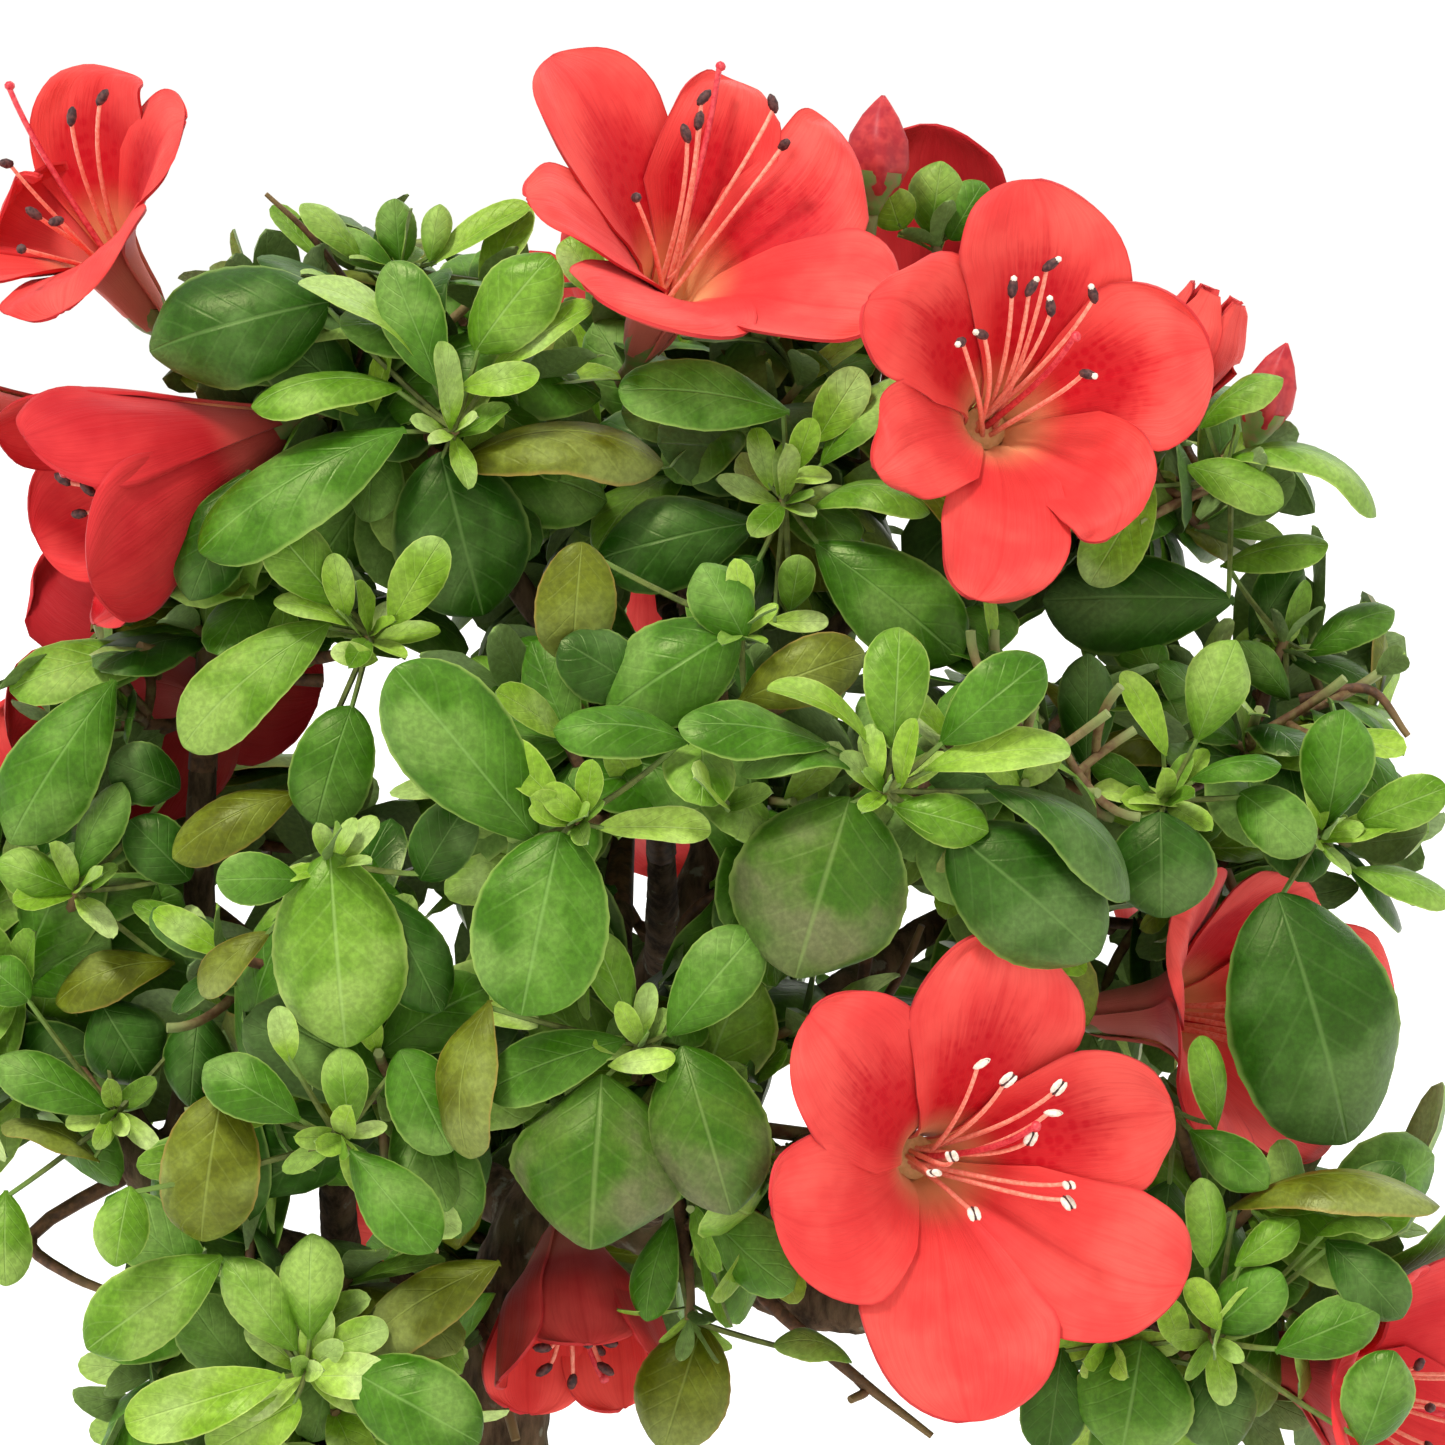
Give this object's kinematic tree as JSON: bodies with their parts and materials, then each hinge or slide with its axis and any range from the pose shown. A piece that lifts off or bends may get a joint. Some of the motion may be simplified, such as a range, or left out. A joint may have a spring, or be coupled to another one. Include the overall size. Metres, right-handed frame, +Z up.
{
  "type": "azalea shrub",
  "caption": "Small evergreen azalea shrub in flower, rooted in the ground: flared tapering trunk, forking boughs, masses of leaf rosettes and open funnel-shaped blooms.",
  "frame": {"origin": "middle of the flat cut under the trunk, at ground level", "axes": "+Z up, -Y towards the viewer of the picture, +X to the viewer's right"},
  "size_m": [0.2609, 0.1952, 0.2694],
  "materials": {
    "bark": "rough bark",
    "foliage": "soft satin",
    "petals": "soft satin"
  },
  "bodies": {
    "root": {"trunk": "bark", "bough_back": "bark", "bough_back_left": "bark", "bough_back_right": "bark", "bough_back_top": "bark", "bough_front": "bark", "bough_front_left": "bark", "bough_front_right": "bark", "bough_left_low": "bark", "bough_left_up": "bark", "bough_low_back": "bark", "bough_low_front": "bark", "bough_low_left": "bark", "bough_low_right": "bark", "bough_right": "bark", "bough_top_left": "bark", "bough_top_right": "bark", "foliage_back": "foliage", "foliage_back_left": "foliage", "foliage_back_right": "foliage", "foliage_back_top": "foliage", "foliage_front": "foliage", "foliage_front_left": "foliage", "foliage_front_right": "foliage", "foliage_left_low": "foliage", "foliage_left_up": "foliage", "foliage_low_back": "foliage", "foliage_low_front": "foliage", "foliage_low_left": "foliage", "foliage_low_right": "foliage", "foliage_right": "foliage", "foliage_top": "foliage", "foliage_top_left": "foliage", "foliage_top_right": "foliage", "bloom_behind_back": "petals", "bloom_behind_back_left": "petals", "bloom_behind_back_right": "petals", "bloom_behind_back_top": "petals", "bloom_behind_left": "petals", "bloom_behind_left_low": "petals", "bloom_behind_low_back": "petals", "bloom_behind_top": "petals", "bloom_bud_right": "petals", "bloom_drooping": "petals", "bloom_front": "petals", "bloom_left_bell": "petals", "bloom_left_edge": "petals", "bloom_low_right": "petals", "bloom_right": "petals", "bloom_top": "petals", "bloom_top_left": "petals", "bloom_top_right": "petals"}
  },
  "joints": []
}
